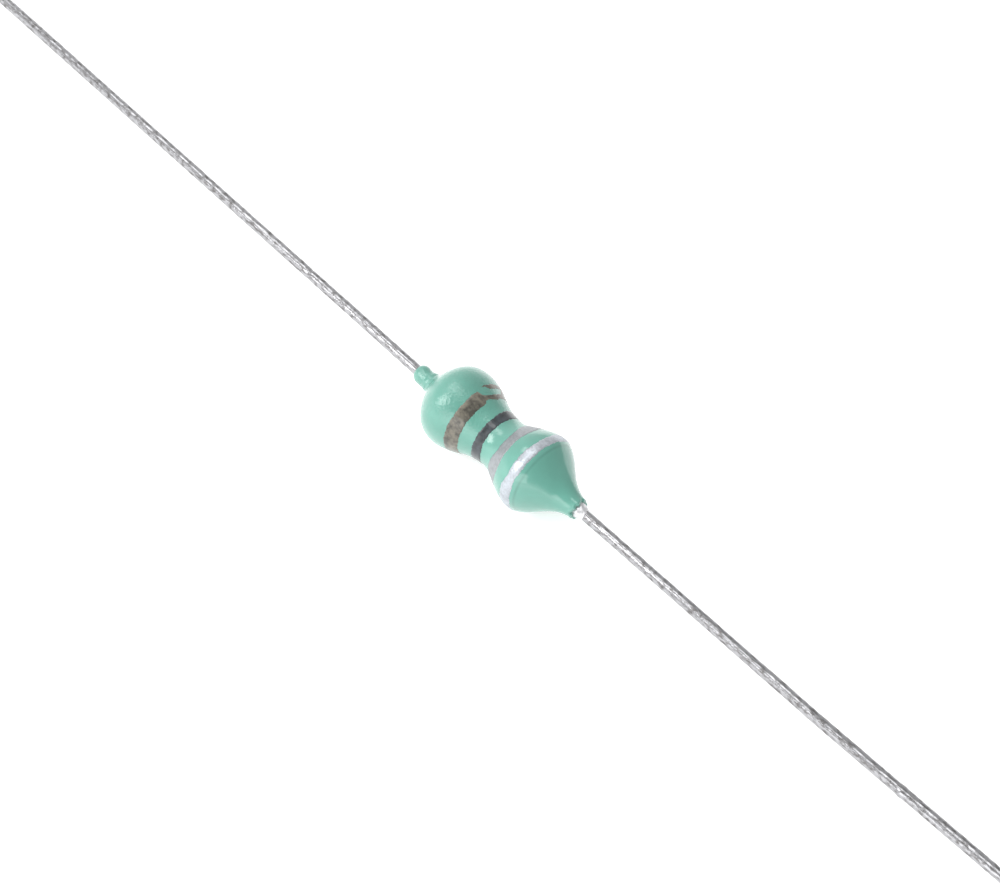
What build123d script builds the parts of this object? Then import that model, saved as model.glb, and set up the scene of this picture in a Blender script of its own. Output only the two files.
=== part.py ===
"""Axial-lead inductor: a ferrite drum core wound with enamelled copper wire,
with a tinned lead glued into each end, dipped in green epoxy and ringed with
four painted value bands.

Frame: +X runs along the body and its leads, +Z is up, and the origin is the
centre of the body. The coat's two bulges and the tips of both leads lie on
one level surface below it. Units are millimetres.
"""

import os
from math import acos, atan2, degrees, hypot, pi

from build123d import *

# Drum core: a spool with a flange at each end and a blind hole in each face
core_length = 7.3
flange_r = 1.9
flange_thickness = 1.3
waist_r = 0.95
flange_edge_fillet = 0.3
flange_root_fillet = 0.12
lead_hole_depth = 2.0

# Leads: round tinned wire, glued into the core. Each bends a little near the
# coat's tip and droops until its own tip touches the surface below.
lead_d = 0.58
lead_in_core = 1.8
lead_glue_gap = 0.05
lead_free = 38.1
lead_bend_inset = {"left": 0.0, "right": 0.7}
lead_bend_r = 4.0
lead_tip_sway = {"left": 1.58, "right": 0.98}
right_kink_out = 16.1
right_kink_sway = 0.27
right_kink_r = 40.0

# Winding: one enamelled copper wire, whose ends wrap round the leads
wire_d = 0.2
winding_turns = 5
winding_pitch = 0.62
tail_reach = 0.35
tail_bend_r = 0.2
wrap_turns = 2
wrap_gap = 0.04
wire_gap = 0.01
wire_end_gap = 0.02

# Notch in each flange, through which the wire's tail passes
notch_gap = 0.03

# Solder over each wrapped tail; the right one creeps out past the coat
solder_over_wire = 0.08
solder_end_cover = 0.06
solder_taper = 0.45
solder_film = 0.11
solder_creep = 0.45

# Epoxy coat: level over each flange, at the waist and along each neck
coat_over_flange = 0.35
coat_over_winding = 0.27
coat_neck_wall = 0.3
coat_tip_out = 2.25
coat_tip_fillet = 0.15
left_neck_length = 1.1
left_crest_inset = 0.95
right_crest_inset = 0.8
waist_x = 0.3

# Value bands, painted on the coat: place along the body, and width
paint_thickness = 0.03
brown_inset = 2.15
brown_width = 0.82
black_from_waist = -0.4
black_width = 0.62
narrow_silver_inset = 2.25
silver_width = 0.56

# How far each curve of an outline keeps its level start and its level end, as
# shares of its run
end_face_hold = (0.2, 0.68)
left_slope_hold = (0.33, 0.4)
right_slope_hold = (0.36, 0.44)
cone_hold = (0.3, 0.46)
solder_hold = (0.4, 0.4)
creep_hold = (0.3, 0.6)

# Worked out from the sizes above
face_x = core_length / 2
bay_x = face_x - flange_thickness
lead_r = lead_d / 2
wire_r = wire_d / 2
hole_r = lead_r + lead_glue_gap
turn_r = waist_r + wire_gap + wire_r
winding_length = winding_turns * winding_pitch
wrap_r = lead_r + wire_gap + wire_r
wrap_pitch = wire_d + wrap_gap
tail_r = hypot(turn_r, tail_reach)
bay_r = tail_r + wire_r + notch_gap
crest_r = flange_r + coat_over_flange
coat_waist_r = turn_r + wire_r + coat_over_winding
neck_r = lead_r + coat_neck_wall
tip_x = face_x + coat_tip_out
left_crest_x = -face_x + left_crest_inset
right_crest_x = face_x - right_crest_inset
solder_r = wrap_r + wire_r + solder_over_wire
film_r = lead_r + solder_film

os.makedirs("parts", exist_ok=True)


def finish(builder, name):
    """Label a finished piece and write it to its own STEP file."""
    builder.part.label = name
    export_step(builder.part, f"parts/{name}.step")


def level_curve(start, end, hold):
    """Curve that is level at both ends and holds that level for the given shares."""
    run = end[0] - start[0]
    leave_point = (start[0] + hold[0] * run, start[1])
    arrive_point = (end[0] - hold[1] * run, end[1])
    Bezier(start, leave_point, arrive_point, end)


def coat_outline(raised=0.0):
    """Outer outline of the coat, raised by the given height of paint.

    Four smooth curves run level at the necks, crests and waist, and join them
    to each other; a short step closes each neck at its tip. The right crest is
    lower by the paint of its band, so the body lies level on both bulges.
    """
    left_tip = (-tip_x, 0)
    left_corner = (-tip_x, neck_r + raised)
    left_neck = (-tip_x + left_neck_length, neck_r + raised)
    left_crest = (left_crest_x, crest_r + raised)
    waist = (waist_x, coat_waist_r + raised)
    right_crest = (right_crest_x, crest_r - paint_thickness + raised)
    right_neck = (tip_x, neck_r + raised)
    Polyline(left_tip, left_corner, left_neck)
    level_curve(left_neck, left_crest, end_face_hold)
    level_curve(left_crest, waist, left_slope_hold)
    level_curve(waist, right_crest, right_slope_hold)
    level_curve(right_crest, right_neck, cone_hold)
    Polyline(right_neck, (tip_x, 0), left_tip)


# Drum core: the spool is turned first, then drilled and notched
with BuildPart() as core_blank:
    with BuildSketch(Plane.XZ):
        with BuildLine():
            Polyline(
                (-face_x, 0), (-face_x, flange_r), (-bay_x, flange_r), (-bay_x, waist_r),
                (bay_x, waist_r), (bay_x, flange_r), (face_x, flange_r), (face_x, 0),
                close=True,
            )
        make_face()
    revolve(axis=Axis.X)
    circles = core_blank.edges().filter_by(GeomType.CIRCLE)
    outer_edges = circles.group_by(Axis.X)[0] + circles.group_by(Axis.X)[-1]
    root_edges = circles.group_by(SortBy.RADIUS)[0]
    fillet(outer_edges, flange_edge_fillet)
    fillet(root_edges, flange_root_fillet)

with BuildPart() as drum_core:
    add(core_blank.part)
    notch_floor = turn_r - wire_r - notch_gap
    notch_length = flange_thickness + flange_root_fillet
    for side in (-1, 1):
        with Locations(Plane(origin=(side * face_x, 0, 0), z_dir=(side, 0, 0))):
            Hole(hole_r, depth=lead_hole_depth)
        with Locations((side * (face_x - notch_length / 2), -side * tail_reach, notch_floor)):
            Box(
                notch_length, wire_d + 2 * notch_gap, flange_r - notch_floor,
                align=(Align.CENTER, Align.CENTER, Align.MIN), mode=Mode.SUBTRACT,
            )
finish(drum_core, "drum_core")


def side_of(name):
    """Which way along X the left or the right end lies."""
    return -1 if name == "left" else 1


def lead_points(name):
    """Corners of a lead's centreline, from its end in the core to its cut tip."""
    side = side_of(name)
    bend_inset = lead_bend_inset[name]
    run = bend_inset + lead_free
    drop = crest_r - lead_r
    points = [(side * (face_x - lead_in_core), 0, 0), (side * (tip_x - bend_inset), 0, 0)]
    if name == "right":
        kink_run = bend_inset + right_kink_out
        points.append((tip_x + right_kink_out, right_kink_sway, -drop * kink_run / run))
    points.append((side * (tip_x + lead_free), lead_tip_sway[name], -drop))
    return points


def lead_piece(name):
    """A lead: its wire swept along straight runs joined by gentle bends."""
    bends = [lead_bend_r] if name == "left" else [lead_bend_r, right_kink_r]
    with BuildPart() as lead:
        with BuildLine() as route:
            FilletPolyline(*lead_points(name), radius=bends)
        with BuildSketch(Plane(route.line @ 0, z_dir=route.line % 0)):
            Circle(lead_r)
        sweep()
    finish(lead, f"lead_{name}")
    return lead


leads = {name: lead_piece(name) for name in ("left", "right")}


def adhesive_piece(name):
    """Cured glue that fills the core's hole behind and around a lead."""
    side = side_of(name)
    with BuildPart() as adhesive:
        with BuildSketch(Plane(origin=(side * face_x, 0, 0), z_dir=(-side, 0, 0))):
            Circle(hole_r)
        extrude(amount=lead_hole_depth)
        add(leads[name].part, mode=Mode.SUBTRACT)
    finish(adhesive, f"lead_adhesive_{name}")


for lead_name in leads:
    adhesive_piece(lead_name)

# Winding. The right tail leaves the last turn, bends along the core through
# the notch, and bends again towards the lead, which it meets on a tangent.
tail_x = face_x + wire_end_gap + wire_r
tangent_run = (tail_r**2 - wrap_r**2) ** 0.5
wrap_angle = atan2(tail_reach, turn_r) + acos(wrap_r / tail_r)
wrap_x = tail_x + tangent_run * wrap_pitch / (2 * pi * wrap_r)
winding_slope = winding_pitch / (2 * pi * turn_r)

with BuildPart() as coil_tail:
    with BuildLine() as wrap:
        turns = Helix(
            wrap_pitch, wrap_turns * wrap_pitch, wrap_r,
            center=(wrap_x, 0, 0), direction=(1, 0, 0), mode=Mode.PRIVATE,
        )
        add(turns.rotate(Axis.X, degrees(wrap_angle)))
    with BuildSketch(Plane(wrap.line @ 0, z_dir=wrap.line % 0)):
        Circle(wire_r)
    sweep(is_frenet=True)
    with BuildLine() as run_in:
        FilletPolyline(
            (winding_length / 2, 0, turn_r),
            (winding_length / 2 + tail_reach * winding_slope, -tail_reach, turn_r),
            (tail_x, -tail_reach, turn_r),
            wrap.line @ 0,
            radius=tail_bend_r,
        )
    with BuildSketch(Plane(run_in.line @ 0, z_dir=run_in.line % 0)):
        Circle(wire_r)
    sweep()

with BuildPart() as coil_wire:
    with BuildLine() as winding:
        Helix(
            winding_pitch, winding_length, turn_r,
            center=(-winding_length / 2, 0, 0), direction=(1, 0, 0),
        )
    with BuildSketch(Plane(winding.line @ 0, z_dir=winding.line % 0)):
        Circle(wire_r)
    sweep(is_frenet=True)
    add(coil_tail.part)
    add(coil_tail.part.rotate(Axis.Z, 180))
finish(coil_wire, "coil_wire")

# Solder. Each piece is turned about the body's axis over the wrapped tail;
# the right one goes on as a film turned about its own bent lead.
wrap_end_x = wrap_x + wrap_turns * wrap_pitch + wire_r + solder_end_cover
solder_feet = {
    "left": (-wrap_end_x - solder_taper, lead_r),
    "right": (tip_x - lead_bend_inset["right"], film_r),
}


def solder_piece(name):
    """Solder round a wrapped tail, tapering down to the lead or to the film."""
    side = side_of(name)
    with BuildPart() as solder:
        with BuildSketch(Plane.XZ):
            with BuildLine():
                shoulder = (side * wrap_end_x, solder_r)
                foot = solder_feet[name]
                Polyline(foot, (foot[0], 0), (side * tail_x, 0), (side * tail_x, solder_r), shoulder)
                level_curve(shoulder, foot, solder_hold)
            make_face()
        revolve(axis=Axis.X)
        if name == "right":
            bend, kink = (Vector(*point) for point in lead_points(name)[1:3])
            outward = (kink - bend).normalized()
            with BuildSketch(Plane(bend, x_dir=outward, z_dir=outward.cross(Vector(0, 0, 1)))):
                with BuildLine():
                    film_end = (lead_bend_inset[name], film_r)
                    toe = (film_end[0] + solder_creep, lead_r)
                    Polyline(toe, (toe[0], 0), (0, 0), (0, film_r), film_end)
                    level_curve(film_end, toe, creep_hold)
                make_face()
            revolve(axis=Axis(bend, outward))
        add(leads[name].part, mode=Mode.SUBTRACT)
        add(coil_wire.part, mode=Mode.SUBTRACT)
    finish(solder, f"solder_{name}")
    return solder


solders = {name: solder_piece(name) for name in leads}

# Epoxy coat: turned outside, moulded round everything within. Between the
# flanges it keeps clear of the winding.
with BuildPart() as coat_blank:
    with BuildSketch(Plane.XZ):
        with BuildLine():
            coat_outline()
        make_face()
    revolve(axis=Axis.X)
    tips = coat_blank.edges().filter_by(GeomType.CIRCLE).group_by(Axis.X)
    fillet(tips[0] + tips[-1], coat_tip_fillet)

with BuildPart() as epoxy_coating:
    add(coat_blank.part)
    add(core_blank.part, mode=Mode.SUBTRACT)
    with BuildSketch(Plane.YZ.offset(-bay_x)):
        Circle(bay_r)
    extrude(amount=2 * bay_x, mode=Mode.SUBTRACT)
    add(coil_tail.part, mode=Mode.SUBTRACT)
    add(coil_tail.part.rotate(Axis.Z, 180), mode=Mode.SUBTRACT)
    for lead_name in leads:
        add(solders[lead_name].part, mode=Mode.SUBTRACT)
        add(leads[lead_name].part, mode=Mode.SUBTRACT)
finish(epoxy_coating, "epoxy_coating")

# Value bands: rings of paint on the coat, the wide one over the right bulge
with BuildPart() as painted_blank:
    with BuildSketch(Plane.XZ):
        with BuildLine():
            coat_outline(paint_thickness)
        make_face()
    revolve(axis=Axis.X)


def band_piece(name, centre, width):
    """A ring of paint of the given width, lying on the coat."""
    with BuildPart() as band:
        add(painted_blank.part)
        for side in (-1, 1):
            edge = Plane(origin=(centre + side * width / 2, 0, 0), z_dir=(-side, 0, 0))
            split(bisect_by=edge, keep=Keep.TOP)
        add(coat_blank.part, mode=Mode.SUBTRACT)
    finish(band, name)


band_piece("band_brown", -face_x + brown_inset, brown_width)
band_piece("band_black", waist_x + black_from_waist, black_width)
band_piece("band_silver_narrow", face_x - narrow_silver_inset, silver_width)
band_piece("band_silver_wide", right_crest_x, silver_width)
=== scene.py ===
import math

import bmesh
import bpy
import numpy as np
from mathutils import Matrix, Vector


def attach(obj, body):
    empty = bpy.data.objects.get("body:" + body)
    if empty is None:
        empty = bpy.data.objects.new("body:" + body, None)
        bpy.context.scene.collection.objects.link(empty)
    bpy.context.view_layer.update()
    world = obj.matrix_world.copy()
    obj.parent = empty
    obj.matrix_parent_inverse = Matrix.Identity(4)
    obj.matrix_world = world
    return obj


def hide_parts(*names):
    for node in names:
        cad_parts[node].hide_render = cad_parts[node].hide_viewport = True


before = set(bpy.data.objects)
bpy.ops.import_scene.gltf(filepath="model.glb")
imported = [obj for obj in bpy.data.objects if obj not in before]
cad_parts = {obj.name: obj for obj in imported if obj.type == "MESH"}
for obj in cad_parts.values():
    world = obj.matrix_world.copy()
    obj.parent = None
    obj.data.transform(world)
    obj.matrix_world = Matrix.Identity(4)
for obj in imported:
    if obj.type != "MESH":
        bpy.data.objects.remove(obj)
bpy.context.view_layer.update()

# --- Drum core -------------------------------------------------------------
# A pressed and fired ferrite spool with a flange at each end. It is brittle,
# dark grey and finely granular, and the coat hides it.

MM = 0.001
FERRITE = (0.045, 0.045, 0.05, 1)
COARSE_SCALE = 0.3
GRAIN_LOW = 0.35
GRAIN_HIGH = 0.65


def new_material(name, **sockets):
    """A node material and its Principled shader, with plain values on named sockets."""
    material = bpy.data.materials.new(name)
    material.use_nodes = True
    shader = material.node_tree.nodes["Principled BSDF"]
    for socket, value in sockets.items():
        shader.inputs[socket.replace("_", " ")].default_value = value
    return material, shader


def node(tree, kind, inputs=None, **settings):
    """A new node with its settings, and its inputs given as values or as sockets to join."""
    made = tree.nodes.new("ShaderNode" + kind)
    for key, value in settings.items():
        setattr(made, key, value)
    for key, value in (inputs or {}).items():
        if isinstance(value, bpy.types.NodeSocket):
            tree.links.new(value, made.inputs[key])
        else:
            made.inputs[key].default_value = value
    return made


def new_group(name, inputs, outputs):
    """An empty shader node group with named float inputs and outputs."""
    group = bpy.data.node_groups.new(name, "ShaderNodeTree")
    for side, names in (("INPUT", inputs), ("OUTPUT", outputs)):
        for socket in names:
            group.interface.new_socket(socket, in_out=side, socket_type="NodeSocketFloat")
    return group, group.nodes.new("NodeGroupInput"), group.nodes.new("NodeGroupOutput")


def math_result(tree, operation, *values):
    """Result of a Math node on values or sockets."""
    return node(tree, "Math", dict(enumerate(values)), operation=operation).outputs[0]


def make_grain():
    """Group of two noises, fine and three times coarser, that gives a mask about 0.5."""
    group, given, result = new_group("grain", ["Per metre", "Coarse share"], ["Mask"])
    place = node(group, "TexCoord").outputs["Object"]
    scale = given.outputs["Per metre"]
    fine = node(group, "TexNoise", {"Vector": place, "Scale": scale, "Detail": 5.0})
    fewer = math_result(group, "MULTIPLY", scale, COARSE_SCALE)
    coarse = node(group, "TexNoise", {"Vector": place, "Scale": fewer, "Detail": 2.0})
    share = given.outputs["Coarse share"]
    mask = node(group, "Mix", {0: share, 2: fine.outputs["Fac"], 3: coarse.outputs["Fac"]})
    group.links.new(mask.outputs[0], result.inputs["Mask"])
    return group


grain = make_grain()


def grain_mask(tree, per_mm, coarse_share=0.4):
    """The grain group placed in a material, with its size in grains per millimetre."""
    placed = node(tree, "Group", node_tree=grain)
    placed.inputs["Per metre"].default_value = per_mm / MM
    placed.inputs["Coarse share"].default_value = coarse_share
    return placed.outputs["Mask"]


def ramp(tree, mask, *stops):
    """Colour ramp through (position, colour) stops."""
    made = node(tree, "ValToRGB", {"Fac": mask})
    elements = made.color_ramp.elements
    while len(elements) < len(stops):
        elements.new(1.0)
    for element, (position, colour) in zip(elements, stops):
        element.position = position
        element.color = colour
    return made.outputs["Color"]


def scaled(colour, factor):
    """A colour made lighter or darker."""
    return (*(min(1.0, channel * factor) for channel in colour[:3]), 1)


def bump(tree, shader, height, depth, coat=False):
    """Bump of that depth in metres, fed to the shader's normal, and to its clear coat's if asked."""
    made = node(tree, "Bump", {"Height": height, "Distance": depth})
    tree.links.new(made.outputs["Normal"], shader.inputs["Normal"])
    if coat:
        tree.links.new(made.outputs["Normal"], shader.inputs["Coat Normal"])


def grained_material(name, colour, per_mm, contrast, depth, **sockets):
    """One colour broken up by grain, with a matching bump."""
    material, shader = new_material(name, **sockets)
    tree = material.node_tree
    mask = grain_mask(tree, per_mm)
    dark, light = scaled(colour, 1 - contrast), scaled(colour, 1 + contrast)
    blend = ramp(tree, mask, (GRAIN_LOW, dark), (GRAIN_HIGH, light))
    tree.links.new(blend, shader.inputs["Base Color"])
    bump(tree, shader, mask, depth)
    return material


def finish_node(name, material):
    """Gives a carried-over CAD node its material."""
    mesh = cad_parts[name].data
    mesh.materials.clear()
    mesh.materials.append(material)


ferrite = grained_material(
    "ferrite", FERRITE, per_mm=14, contrast=0.35, depth=0.01 * MM, Roughness=0.62,
)
finish_node("drum_core", ferrite)

# --- Winding ---------------------------------------------------------------
# One length of copper wire in a thin baked enamel, wound on the core and led
# out through a notch in each flange to wrap round the leads.

ENAMELLED_COPPER = (0.46, 0.13, 0.035, 1)
enamel = grained_material(
    "enamelled_copper", ENAMELLED_COPPER, per_mm=6, contrast=0.2, depth=0.002 * MM,
    Metallic=0.85, Roughness=0.28, Coat_Weight=0.8,
)
finish_node("coil_wire", enamel)

# --- Lead adhesive ---------------------------------------------------------
# Cured amber glue that holds each lead in the core's blind hole.

CURED_GLUE = (0.36, 0.2, 0.06, 1)
glue = grained_material(
    "cured_glue", CURED_GLUE, per_mm=4, contrast=0.25, depth=0.004 * MM, Roughness=0.3,
)
finish_node("lead_adhesive_left", glue)
finish_node("lead_adhesive_right", glue)

# --- Leads -----------------------------------------------------------------
# Round copper wire with a bright tin plating that keeps fine drawing lines, dull
# smears and one mark from handling. Each is glued into the core; the left one
# bends at the coat's tip and the right one inside the neck.

LEAD_R = 0.29 * MM
LEAD_INNER_X = 1.85 * MM
LEAD_BEND_X = {"left": 5.9 * MM, "right": 5.2 * MM}
LEAD_TIP_X = 44.0 * MM
BEND_SOFTNESS = 0.06 * MM
LEAD_SLOPES = {"left": (0.04147, -0.05144), "right": (0.0161, -0.0505)}
RIGHT_KINK_X = 22.0 * MM
RIGHT_KINK_TURN = 0.0162
RIGHT_KINK_SOFTNESS = 0.24 * MM
LEAD_COLUMNS = 48
LEAD_STEP = 0.06 * MM
TANGENT_STEP = 0.01 * MM
LEAD_FULLNESS = 0.985
LEAD_WAVER = [(0.006, 1.7, 1, 0), (0.005, 0.6, -2, 0)]
LEAD_MARKS = {"left": (14.75 * MM, 0.9, -0.03 * MM), "right": (27.0 * MM, 2.2, 0.035 * MM)}
MARK_REACH = 0.16 * MM
MARK_ALL_ROUND = 0.35
PINCH = 0.3
PINCH_REACH = 0.1 * MM
CUT_FACE_RING = 0.86
MERGE_DISTANCE = 1e-8
TINNED = (0.42, 0.42, 0.435, 1)
TINNED_DULL = (0.17, 0.165, 0.165, 1)
DRAWN_LINES = (0.3 / MM, 11 / MM, 1)
SMEARS = (2.6 / MM, 6 / MM, 1)
DULL_SPAN = (0.46, 0.64)
ROUGH_SPAN = (0.3, 0.75)
TIN_ROUGHNESS = (0.14, 0.34)
TIN_RELIEF = 0.014 * MM


def grid_faces(rows, columns, along):
    """Corner numbers of a grid's quads. It closes round its columns, and along its rows if asked."""
    row = np.arange(rows if along else rows - 1)[:, None]
    column = np.arange(columns)[None, :]
    down, right = (row + 1) % rows, (column + 1) % columns
    corners = [(row, column), (row, right), (down, right), (down, column)]
    return np.stack([a * columns + b for a, b in corners], -1).reshape(-1, 4)


def grid_uv(along, columns, turn):
    """UV of each quad's corners: the way along, and the way round as a share of turn."""
    down = np.arange(len(along) - 1)[:, None]
    column = np.arange(columns)[None, :]
    u = along[np.stack([down, down, down + 1, down + 1], -1)]
    v = np.stack([column, column + 1, column + 1, column], -1) * turn / columns
    return np.stack(np.broadcast_arrays(u, v), -1)


def new_piece(name, points, material, along=False, uv=None, replaces=None):
    """Smooth closed mesh on a grid of points, rows along and columns round, riding the root.

    Points that fall together, as at a pole, are merged, and faces turned outwards.
    """
    rows, columns = points.shape[:2]
    mesh = bpy.data.meshes.new(name)
    mesh.from_pydata(points.reshape(-1, 3), [], grid_faces(rows, columns, along))
    if uv is not None:
        mesh.uv_layers.new(name="way").data.foreach_set("uv", uv.ravel())
    shape = bmesh.new()
    shape.from_mesh(mesh)
    bmesh.ops.remove_doubles(shape, verts=shape.verts, dist=MERGE_DISTANCE)
    bmesh.ops.recalc_face_normals(shape, faces=shape.faces)
    shape.to_mesh(mesh)
    shape.free()
    mesh.polygons.foreach_set("use_smooth", np.ones(len(mesh.polygons), bool))
    mesh.materials.append(material)
    piece = bpy.data.objects.new(name, mesh)
    bpy.context.scene.collection.objects.link(piece)
    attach(piece, "root")
    if replaces:
        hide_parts(replaces)


def wave_sum(along, angle, terms):
    """Sum of sine waves. A term is a size, radians per millimetre along, turns round and a phase."""
    return sum(size * np.sin(per_mm * along + turns * angle + phase) for size, per_mm, turns, phase in terms)


def bend_away(x, start, softness):
    """Zero before start and x - start after it, with a soft bend between."""
    return softness * np.logaddexp(0, (x - start) / softness)


def lead_centre(name, x):
    """Centre of a lead at each distance x from the body's middle: straight runs with soft bends."""
    side = -1 if name == "left" else 1
    sway, droop = LEAD_SLOPES[name]
    run = bend_away(x, LEAD_BEND_X[name], BEND_SOFTNESS)
    y = sway * run
    if name == "right":
        y = y + RIGHT_KINK_TURN * bend_away(x, RIGHT_KINK_X, RIGHT_KINK_SOFTNESS)
    return np.stack([side * x, y, droop * run], -1)


def round_lead(name, x, radius):
    """Rings round the lead's centre and square to it, one row and column for each radius."""
    centre = lead_centre(name, x)
    ahead = lead_centre(name, x + TANGENT_STEP) - lead_centre(name, x - TANGENT_STEP)
    ahead /= np.linalg.norm(ahead, axis=-1, keepdims=True)
    across = np.cross(ahead, [0, 0, 1])
    across /= np.linalg.norm(across, axis=-1, keepdims=True)
    upward = np.cross(across, ahead)
    angle = np.linspace(0, 2 * np.pi, radius.shape[1], endpoint=False)[:, None]
    ring = np.cos(angle) * upward[:, None] + np.sin(angle) * across[:, None]
    return centre[:, None] + ring * radius[..., None]


def lead_mesh(name, material):
    """A wire: a ring carried along the lead, with a mark from handling and a sheared end.

    The radius is a share of the wire's own with a faint waver, plus a mark
    that falls off as a bell curve. It is pinched towards the sheared tip, and
    closes to a point at the middle of each flat end.
    """
    x = np.arange(LEAD_INNER_X, LEAD_TIP_X, LEAD_STEP)
    x = np.concatenate([x[:1], x, [LEAD_TIP_X] * 3])
    angle = np.linspace(0, 2 * np.pi, LEAD_COLUMNS, endpoint=False)[None, :]
    radius = LEAD_R * (LEAD_FULLNESS + wave_sum(x[:, None] / MM, angle, LEAD_WAVER))
    mark_x, mark_angle, mark_height = LEAD_MARKS[name]
    near = np.exp(-(((x[:, None] - mark_x) / MARK_REACH) ** 2))
    facing = np.cos((angle - mark_angle) / 2) ** 2
    radius = radius + mark_height * near * (MARK_ALL_ROUND + (1 - MARK_ALL_ROUND) * facing)
    from_tip = (LEAD_TIP_X - x)[:, None]
    radius = radius * (1 - PINCH * np.exp(-from_tip / PINCH_REACH) * np.cos(angle) ** 2)
    radius[[0, -1]] = 0
    radius[-2] *= CUT_FACE_RING
    uv = grid_uv(x, LEAD_COLUMNS, 2 * np.pi * LEAD_R)
    points = round_lead(name, x, radius)
    new_piece(f"wire_{name}", points, material, uv=uv, replaces=f"lead_{name}")


def spread(tree, value, span, result=(0.0, 1.0)):
    """A value carried straight from a span to a range of results, and held past its ends."""
    ends = {"From Min": span[0], "From Max": span[1], "To Min": result[0], "To Max": result[1]}
    return node(tree, "MapRange", {"Value": value, **ends}).outputs[0]


def mixed_colour(tree, share, first, second):
    """Two colours, each a value or a socket, blended by share."""
    made = node(tree, "Mix", {0: share, 6: first, 7: second}, data_type="RGBA")
    return made.outputs[2]


def stretched_noise(tree, place, per_metre, detail):
    """Noise with its own size along each axis of the place."""
    stretched = node(tree, "Mapping", {"Vector": place, "Scale": per_metre}).outputs[0]
    return node(tree, "TexNoise", {"Vector": stretched, "Scale": 1.0, "Detail": detail}).outputs["Fac"]


def tinned_material():
    """Bright tin over copper: dull smears, and fine lines along the wire, both in slight relief."""
    material, shader = new_material("tinned_wire", Metallic=1.0)
    tree = material.node_tree
    place = node(tree, "UVMap", uv_map="way").outputs["UV"]
    lines = stretched_noise(tree, place, DRAWN_LINES, detail=4.0)
    smears = stretched_noise(tree, place, SMEARS, detail=6.0)
    colour = mixed_colour(tree, spread(tree, smears, DULL_SPAN), TINNED, TINNED_DULL)
    tree.links.new(colour, shader.inputs["Base Color"])
    rough = spread(tree, smears, ROUGH_SPAN, TIN_ROUGHNESS)
    tree.links.new(rough, shader.inputs["Roughness"])
    bump(tree, shader, math_result(tree, "ADD", lines, smears), TIN_RELIEF)
    return material


tinned = tinned_material()
for lead_name in ("left", "right"):
    lead_mesh(lead_name, tinned)

# --- Solder ----------------------------------------------------------------
# Tin solder runs over the wire's wrapped ends. The left piece is sealed in;
# the right one creeps along its lead and shows as a pale collar past the coat.

SOLDER_BRIGHT = (0.7, 0.7, 0.72, 1)
SOLDER_X = {
    "start": 3.77 * MM,
    "shoulder": 4.51 * MM,
    "film": 5.2 * MM,
    "coat_tip": 5.9 * MM,
    "toe": 6.36 * MM,
}
SOLDER_R = 0.58 * MM
FILM_R = 0.4 * MM
COLLAR_BORE = 0.97 * LEAD_R
SOLDER_LUMPS = [(0.05, 5, 2, 0), (0.03, -9, 5, 0)]
SOLDER_ROWS = 90
SOLDER_COLUMNS = 64


def ease(share):
    """Smooth step from 0 to 1, level at both ends."""
    share = np.clip(share, 0, 1)
    return share * share * (3 - 2 * share)


def solder_collar(material):
    """The right solder: a sleeve on the lead that steps down twice, and thins to its toe.

    Its wall is one closed loop, out along the outer radius and back along the
    lead, carried round the lead's centre.
    """
    x = np.linspace(SOLDER_X["start"], SOLDER_X["toe"], SOLDER_ROWS)
    step_down = ease((x - SOLDER_X["shoulder"]) / (SOLDER_X["film"] - SOLDER_X["shoulder"]))
    thin_out = ease((x - SOLDER_X["coat_tip"]) / (SOLDER_X["toe"] - SOLDER_X["coat_tip"]))
    outer = SOLDER_R + (FILM_R - SOLDER_R) * step_down + (LEAD_R - FILM_R) * thin_out
    angle = np.linspace(0, 2 * np.pi, SOLDER_COLUMNS, endpoint=False)[None, :]
    outer = outer[:, None] * (1 + wave_sum(x[:, None] / MM, angle, SOLDER_LUMPS))
    inner = np.full((SOLDER_ROWS, SOLDER_COLUMNS), COLLAR_BORE)
    points = round_lead("right", np.concatenate([x, x[::-1]]), np.concatenate([outer, inner]))
    new_piece("solder_collar", points, material, along=True, replaces="solder_right")


solder = grained_material(
    "solder", SOLDER_BRIGHT, per_mm=7, contrast=0.12, depth=0.02 * MM,
    Metallic=0.6, Roughness=0.34,
)
finish_node("solder_left", solder)
solder_collar(solder)

# --- Epoxy coat ------------------------------------------------------------
# The part is dipped in green epoxy, which draws in over the waist, humps over
# the flanges and creeps along each lead. It cures glossy and slightly uneven,
# with a fine grain mostly on the left half and a ragged edge at the right tip.

EPOXY = (0.118, 0.375, 0.298, 1)
EPOXY_DEEP = scaled(EPOXY, 0.88)
EPOXY_PALE = scaled(EPOXY, 1.1)
# Painted shade: a darker green line round the cone, coloured as if it lay in a groove that the coat's
# surface does not have.
PAINTED_GROOVE_SHADE = scaled(EPOXY, 0.62)
GROOVE_X = 3.32 * MM
GROOVE_HALF = 0.09 * MM
GRAINY_SPAN = (0.9 * MM, -0.2 * MM)
SMOOTH_SHARE = 0.12
COAT_RELIEF = 0.034 * MM
COAT_COLUMNS = 256
CREST_R = 2.25 * MM
RIGHT_CREST_R = 2.22 * MM
WAIST_R = 1.43 * MM
NECK_R = 0.59 * MM
TIP_X = 5.9 * MM
COAT_STATIONS = [
    (-4.8 * MM, NECK_R),
    (-2.7 * MM, CREST_R),
    (0.3 * MM, WAIST_R),
    (2.85 * MM, RIGHT_CREST_R),
    (TIP_X, NECK_R),
]
COAT_HOLDS = [(0.2, 0.68), (0.33, 0.4), (0.36, 0.44), (0.3, 0.46)]
CURVE_ROWS = 80
NECK_ROWS = 24
COAT_UNEVEN = 0.02 * MM
COAT_WAVES = [(0.5, 1.3, 1, 0.4), (0.3, 2.9, -2, 1.0), (0.2, 5.3, 3, 0)]
LEFT_ROUND = (0.5 * MM, 0.27 * MM)
RIGHT_ROUND = (0.1 * MM, 0.13 * MM)
NECK_STEP = (-4.85 * MM, 0.3 * MM, 0.05 * MM)
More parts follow.
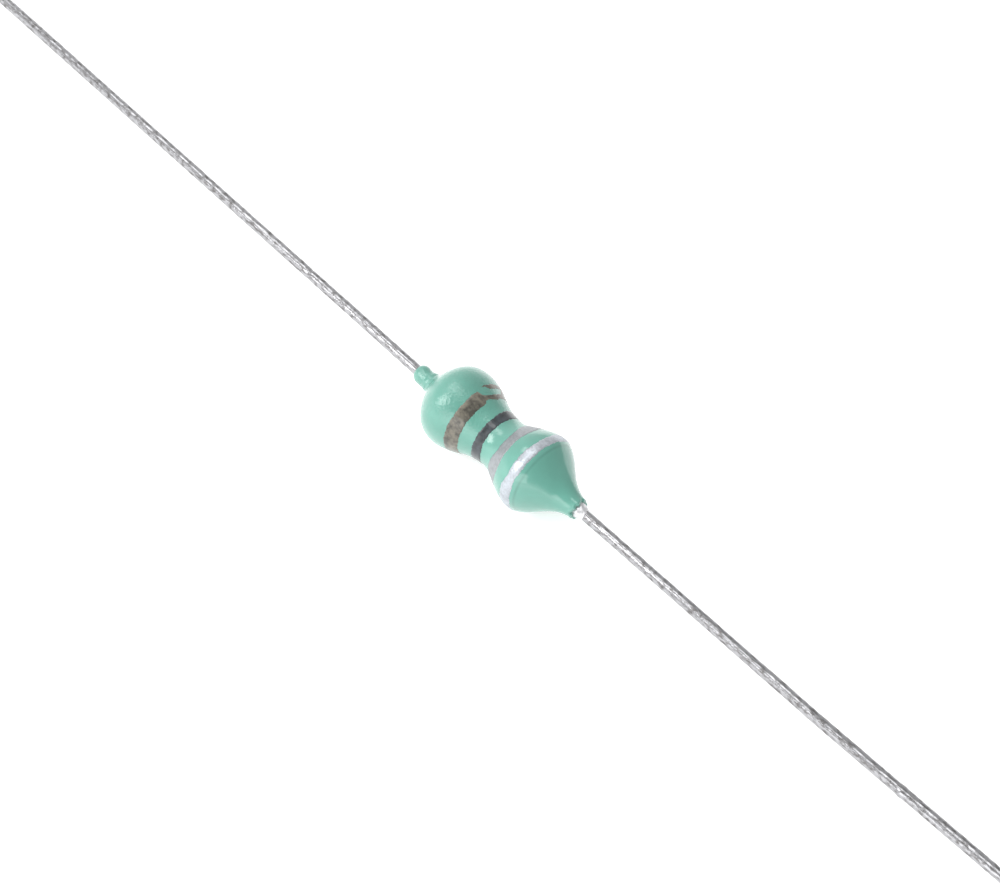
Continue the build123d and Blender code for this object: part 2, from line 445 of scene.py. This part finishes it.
DENT_X = -5.2 * MM
DENT_REACH = 0.35 * MM
DENT_DEPTH = 0.09 * MM
DENT_ANGLE = -1.9
RAGGED_FROM = 5.2 * MM
RAGGED_WAVES = [(0.05, 0, 3, 0.6), (0.035, 0, 7, 2.0), (0.02, 0, 13, 0)]
RAGGED_RETREAT = 0.05
COAT_INSIDE_MM = [
    (5.78, 0.36), (5.0, 0.41), (3.65, 0.62), (3.65, 1.6), (2.35, 1.75), (2.35, 1.15),
    (-2.35, 1.15), (-2.35, 1.75), (-3.65, 1.6), (-3.65, 0.6), (-5.0, 0.31), (-5.88, 0.29),
]


def level_curve(start, end, hold):
    """Cubic curve that is level at both ends and holds that level for the given shares of its run."""
    share = np.linspace(0, 1, CURVE_ROWS)[:, None]
    run = end[0] - start[0]
    corners = [start, (start[0] + hold[0] * run, start[1]), (end[0] - hold[1] * run, end[1]), end]
    weights = [(1 - share) ** 3, 3 * share * (1 - share) ** 2, 3 * share**2 * (1 - share), share**3]
    return sum(weight * np.array(corner) for weight, corner in zip(weights, corners))


curves = [level_curve(*ends, hold) for *ends, hold in zip(COAT_STATIONS, COAT_STATIONS[1:], COAT_HOLDS)]
coat_line = np.concatenate(curves)


def coat_radius(x, angle):
    """Radius of the coat's surface at x and angle: the turned outline, less a slow unevenness.

    The unevenness is a sum of low waves that fades to nothing underneath,
    where the coat rests, so the surface never leaves the turned outline.
    """
    turned = np.interp(x, coat_line[:, 0], coat_line[:, 1])
    above = 0.5 * (1 + np.cos(angle))
    return turned - COAT_UNEVEN * (1 + wave_sum(x / MM, angle, COAT_WAVES)) * above * (turned / CREST_R)


def coat_point(x, radius, angle):
    """Point at that radius about the body's axis, with the angle from straight up towards -Y."""
    return np.stack(np.broadcast_arrays(x, -radius * np.sin(angle), radius * np.cos(angle)), -1)


def rounded(from_tip, reach, drop):
    """How far a round end falls below the wall: the whole drop at the tip, and none past reach."""
    return drop * (1 - np.sqrt(1 - (1 - np.clip(from_tip / reach, 0, 1)) ** 2))


def coat_mesh(material):
    """The coat: out along its surface and back along the core, carried round the axis.

    The surface is coat_radius less a quarter round at each tip, a step at the
    left neck and a bell-shaped dent in it. Towards the right tip its rows
    shift along the body by waves of whole counts round it.
    """
    angle = np.linspace(0, 2 * np.pi, COAT_COLUMNS, endpoint=False)[None, :]
    neck = np.linspace(-TIP_X, COAT_STATIONS[0][0], NECK_ROWS)[:-1]
    x = np.unique(np.round(np.concatenate([neck, coat_line[:, 0]]), 8))[:, None]
    outer = coat_radius(x, angle) - rounded(x + TIP_X, *LEFT_ROUND) - rounded(TIP_X - x, *RIGHT_ROUND)
    step_x, step_run, step_depth = NECK_STEP
    outer = outer - step_depth * ease((step_x - x) / step_run)
    dent = np.exp(-(((x - DENT_X) / DENT_REACH) ** 2))
    outer = outer - DENT_DEPTH * dent * (1 + np.cos(angle - DENT_ANGLE)) / 2
    near_tip = ease((x - RAGGED_FROM) / (TIP_X - RAGGED_FROM))
    ragged = wave_sum(0, angle, RAGGED_WAVES) - RAGGED_RETREAT
    outside = coat_point(x + ragged * MM * near_tip, outer, angle)
    inner = np.array(COAT_INSIDE_MM) * MM
    inside = coat_point(inner[:, :1], inner[:, 1:], angle)
    points = np.concatenate([outside, inside])
    new_piece("green_coat", points, material, along=True, replaces="epoxy_coating")


def epoxy_material():
    """Glossy sea-green epoxy: cloudy shades, a patchy painted shade line where a groove would fall, and fine
    grain on the left.
    """
    material, shader = new_material(
        "green_epoxy", Roughness=0.4, IOR=1.45, Coat_Weight=1.0, Coat_Roughness=0.06, Coat_IOR=1.62,
    )
    tree = material.node_tree
    cloud = grain_mask(tree, 1.2, 0.6)
    colour = ramp(tree, cloud, (0.3, EPOXY_DEEP), (0.5, EPOXY), (0.72, EPOXY_PALE))
    along = node(tree, "SeparateXYZ", {"Vector": node(tree, "TexCoord").outputs["Object"]}).outputs["X"]
    # Painted groove shade: a patchy dark line round the coat at GROOVE_X, with no groove in the surface
    # there.
    off_line = math_result(tree, "ABSOLUTE", math_result(tree, "SUBTRACT", along, GROOVE_X))
    line = spread(tree, off_line, (0.0, GROOVE_HALF), (1.0, 0.0))
    patchy_painted_shade = math_result(tree, "MULTIPLY", line, grain_mask(tree, 1.5, 0.2))
    tree.links.new(mixed_colour(tree, patchy_painted_shade, colour, PAINTED_GROOVE_SHADE), shader.inputs["Base Color"])
    grainy = spread(tree, along, GRAINY_SPAN, (SMOOTH_SHARE, 1.0))
    fine = math_result(tree, "MULTIPLY", grain_mask(tree, 9, 0.3), grainy)
    bump(tree, shader, fine, COAT_RELIEF, coat=True)
    return material


epoxy = epoxy_material()
coat_mesh(epoxy)

# --- Value bands -----------------------------------------------------------
# Four rings of paint rolled on by hand: brown, black and two of silver. Each
# is thin, with a ragged edge; the brown one narrows and sheds a strand.

FACING = 25.9
PAINT_H = 0.016 * MM
PAINT_ACROSS = 16
RING_COLUMNS = 900
STRAND_COLUMNS = 160
STRAND_BLUNTNESS = 0.3
EDGE_WAVES = [(0.5, 5, 1.0), (0.5, 13, 2.3), (0.45, 31, 3.1), (0.35, 67, 5.0)]
BROWN_LEFT = (
    [-180, -44, 34, 38, 46, 54, 80, 92, 180],
    [-1.85, -1.78, -1.78, -1.51, -1.37, -1.33, -1.33, -1.8, -1.85],
)
BROWN_RIGHT = ([-180, -20, 34, 38, 50, 60, 72, 180], [-1.1, -1.08, -1.08, -1.2, -1.11, -1.02, -1.06, -1.1])
STRAND_LEFT = ([44, 50, 57, 74, 94], [-1.86, -1.95, -1.88, -1.86, -1.86])
STRAND_RIGHT = ([44, 50, 57, 74, 94], [-1.86, -1.79, -1.62, -1.6, -1.6])
BLACK_LEFT = ([-180, -60, -30, 40, 58, 180], [-0.36, -0.36, -0.33, -0.33, -0.36, -0.36])
BLACK_RIGHT = ([-180, -60, -25, 35, 58, 180], [0.2, 0.26, 0.15, 0.15, 0.22, 0.2])
NARROW_LEFT = ([-180, -60, -42, -15, 25, 46, 180], [1.12, 0.98, 0.95, 1.1, 1.1, 1.01, 1.12])
NARROW_RIGHT = ([-180, -60, -42, -15, 25, 46, 180], [1.68, 1.75, 1.8, 1.7, 1.7, 1.79, 1.68])
WIDE_LEFT = ([-180, -47, -27, 0, 38, 180], [2.57, 2.46, 2.55, 2.5, 2.61, 2.57])
WIDE_RIGHT = ([-180, -47, -27, 0, 38, 180], [3.1, 3.12, 3.05, 3.08, 3.1, 3.1])
BROWN = (0.062, 0.058, 0.045, 1)
BROWN_THIN = (0.22, 0.2, 0.155, 1)
BLACK = (0.02, 0.026, 0.031, 1)
SILVER = (0.55, 0.59, 0.64, 1)
LILAC_SILVER = (0.39, 0.41, 0.43, 1)
THIN_AT = 0.38
THICK_AT = 0.6


def edge(knots, angle, size, phase):
    """Where a paint edge runs: straight stretches through the knots, plus a wandering ragged part.

    Knots are degrees from the side that faces up and forward, and millimetres
    along the body. The ragged part is waves of whole counts round the ring,
    whose phases are multiples of the edge's own.
    """
    turn = (FACING - np.degrees(angle) + 180) % 360 - 180
    line = np.interp(turn, *knots)
    ragged = wave_sum(0, angle, [(height, 0, turns, times * phase) for height, turns, times in EDGE_WAVES])
    return (line + size * ragged) * MM


def paint_wall(left, right, angle, thickness=1.0):
    """Grid of points round a thin closed wall of paint between two edges on the coat.

    Across it the height is PAINT_H times one less the eighth power of the
    share of the half width, and the underside lies just in the coat.
    """
    share = np.linspace(-1, 1, PAINT_ACROSS)[:, None]
    x = (left + right) / 2 + (right - left) / 2 * share
    height = PAINT_H * (1 - share**8) * thickness
    top = coat_point(x, coat_radius(x, angle) + height, angle)
    under_x = x[::-1]
    under = coat_point(under_x, coat_radius(under_x, angle) - PAINT_H * thickness, angle)
    return np.concatenate([top, under])


def paint_ring(name, left, right, size, material, replaces):
    """A whole ring of paint round the body between two ragged edges."""
    angle = np.linspace(0, 2 * np.pi, RING_COLUMNS, endpoint=False)[None, :]
    left_edge = edge(left, angle, size, phase=1.0 + left[1][0])
    right_edge = edge(right, angle, size, phase=2.0 + right[1][0])
    points = paint_wall(left_edge, right_edge, angle)
    new_piece(name, points, material, along=True, replaces=replaces)


def paint_strand(name, left, right, size, material):
    """A stray strand of paint, narrowing to a point at both ends."""
    turn = np.linspace(left[0][0], left[0][-1], STRAND_COLUMNS)
    angle = np.radians(FACING - turn)[None, :]
    share = np.linspace(0, 1, STRAND_COLUMNS)[None, :]
    fade = np.sin(np.pi * share) ** STRAND_BLUNTNESS
    fade[:, [0, -1]] = 0
    left_edge = edge(left, angle, size, phase=0.5)
    right_edge = edge(right, angle, size, phase=1.7)
    middle, half = (left_edge + right_edge) / 2, (right_edge - left_edge) / 2
    points = paint_wall(middle - half * fade, middle + half * fade, angle, fade)
    new_piece(name, points.transpose(1, 0, 2), material)


def paint_material(name, thin, thick, per_mm, depth, **sockets):
    """Paint whose colour goes from thin to thick with grain."""
    material, shader = new_material(name, **sockets)
    tree = material.node_tree
    mask = grain_mask(tree, per_mm, 0.5)
    blend = ramp(tree, mask, (THIN_AT, thin), (THICK_AT, thick))
    tree.links.new(blend, shader.inputs["Base Color"])
    bump(tree, shader, mask, depth, coat=True)
    return material


brown = paint_material(
    "brown_paint", BROWN_THIN, BROWN, per_mm=5, depth=0.012 * MM, Roughness=0.35, Coat_Weight=0.6,
)
black = paint_material(
    "black_paint", scaled(BLACK, 2.4), BLACK, per_mm=5, depth=0.012 * MM, Roughness=0.3, Coat_Weight=0.6,
)
narrow_silver = paint_material(
    "narrow_silver_paint", scaled(LILAC_SILVER, 0.75), LILAC_SILVER, per_mm=9, depth=0.02 * MM,
    Roughness=0.4, Metallic=0.5,
)
wide_silver = paint_material(
    "wide_silver_paint", scaled(SILVER, 0.72), SILVER, per_mm=9, depth=0.03 * MM,
    Roughness=0.36, Metallic=0.5,
)
paint_ring("brown_band", BROWN_LEFT, BROWN_RIGHT, 0.02, brown, "band_brown")
paint_strand("brown_strand", STRAND_LEFT, STRAND_RIGHT, 0.02, brown)
paint_ring("black_band", BLACK_LEFT, BLACK_RIGHT, 0.022, black, "band_black")
paint_ring(
    "narrow_silver_band", NARROW_LEFT, NARROW_RIGHT, 0.018, narrow_silver,
    "band_silver_narrow",
)
paint_ring(
    "wide_silver_band", WIDE_LEFT, WIDE_RIGHT, 0.025, wide_silver, "band_silver_wide",
)

# --- Floor, lights and camera ------------------------------------------------
# A white sweep under soft studio light: softboxes from the left front, overhead
# and low along the front, and a paler fill all round.

FLOOR_Z = -2.25 * MM
FLOOR_SIZE = 2.0
FLOOR_COLOUR = (0.86, 0.86, 0.86, 1)
FLOOR_GLOW = 0.55
WORLD_LEVEL = 0.46
LEFT_LEVEL = 0.95
WALL_LEVEL = 2.2
LOW_SKY = (0.3, 0.08)
FRONT_SKY = (-0.2, -0.7)
LEFT_SKY = (0.3, -0.8)
SOFTBOX_DISTANCE = 0.5
CAMERA_AZIMUTH = math.radians(-43.37)
CAMERA_ELEVATION = math.radians(54.765)
CAMERA_DISTANCE = 139.6 * MM
AIM_RIGHT = 0.126 * MM
AIM_DOWN = 0.187 * MM


def seen_share(tree):
    """One for camera, glossy and transmission rays, and zero for the rest."""
    path = node(tree, "LightPath")
    seen = math_result(tree, "MAXIMUM", path.outputs["Is Camera Ray"], path.outputs["Is Glossy Ray"])
    return math_result(tree, "MAXIMUM", seen, path.outputs["Is Transmission Ray"])


floor_mesh = bpy.data.meshes.new("floor")
reach = FLOOR_SIZE / 2
floor_corners = [(reach * x, reach * y, FLOOR_Z) for x, y in ((-1, -1), (1, -1), (1, 1), (-1, 1))]
floor_mesh.from_pydata(floor_corners, [], [(0, 1, 2, 3)])
floor_material, floor_shader = new_material(
    "floor", Base_Color=FLOOR_COLOUR, Roughness=1.0, Specular_IOR_Level=0.0, Emission_Color=(1, 1, 1, 1),
)
floor_tree = floor_material.node_tree
glow = math_result(floor_tree, "MULTIPLY", seen_share(floor_tree), FLOOR_GLOW)
floor_tree.links.new(glow, floor_shader.inputs["Emission Strength"])
floor_mesh.materials.append(floor_material)
floor = bpy.data.objects.new("floor", floor_mesh)
bpy.context.scene.collection.objects.link(floor)

world = bpy.data.worlds.new("studio")
world.use_nodes = True
sky = world.node_tree
facing = node(sky, "SeparateXYZ", {"Vector": node(sky, "TexCoord").outputs["Generated"]})
low = spread(sky, facing.outputs["Z"], LOW_SKY)
ahead = spread(sky, facing.outputs["Y"], FRONT_SKY)
front_wall = math_result(sky, "MULTIPLY", low, ahead)
base = spread(sky, facing.outputs["X"], LEFT_SKY, (WORLD_LEVEL, LEFT_LEVEL))
level = node(sky, "Mix", {0: front_wall, 2: base, 3: WALL_LEVEL})
sky.links.new(level.outputs[0], sky.nodes["Background"].inputs["Strength"])
sky.nodes["Background"].inputs["Color"].default_value = (1, 1, 1, 1)
bpy.context.scene.world = world


def softbox(name, direction, width, height, radiance):
    """Rectangular lamp that faces the body from a direction; its watts give the radiance."""
    lamp = bpy.data.lights.new(name, "AREA")
    lamp.shape = "RECTANGLE"
    lamp.size, lamp.size_y = width, height
    lamp.energy = radiance * width * height * math.pi
    placed = bpy.data.objects.new(name, lamp)
    outward = Vector(direction).normalized()
    placed.location = outward * SOFTBOX_DISTANCE
    placed.rotation_euler = outward.to_track_quat("Z", "Y").to_euler()
    bpy.context.scene.collection.objects.link(placed)


softbox("key", (-0.42, -0.60, 0.68), width=0.15, height=0.28, radiance=6.6)
softbox("overhead", (-0.35, 0.03, 0.9), width=0.14, height=0.5, radiance=2.6)
softbox("front", (0.3, -0.87, 0.4), width=0.46, height=0.2, radiance=2.1)

level_part, rise = math.cos(CAMERA_ELEVATION), math.sin(CAMERA_ELEVATION)
east, north = math.cos(CAMERA_AZIMUTH), math.sin(CAMERA_AZIMUTH)
camera_way = np.array([level_part * east, level_part * north, rise])
camera_right = np.array([-north, east, 0.0])
camera_up = np.cross(camera_way, camera_right)
camera = bpy.data.objects.new("camera", bpy.data.cameras.new("camera"))
camera.data.lens = 100
camera.data.sensor_width = 36
camera.data.clip_start = 0.001
aim = AIM_RIGHT * camera_right - AIM_DOWN * camera_up
camera.location = aim + camera_way * CAMERA_DISTANCE
camera.rotation_euler = Matrix((camera_right, camera_up, camera_way)).transposed().to_euler()
bpy.context.scene.collection.objects.link(camera)
bpy.context.scene.camera = camera
bpy.context.scene.view_settings.view_transform = "Standard"
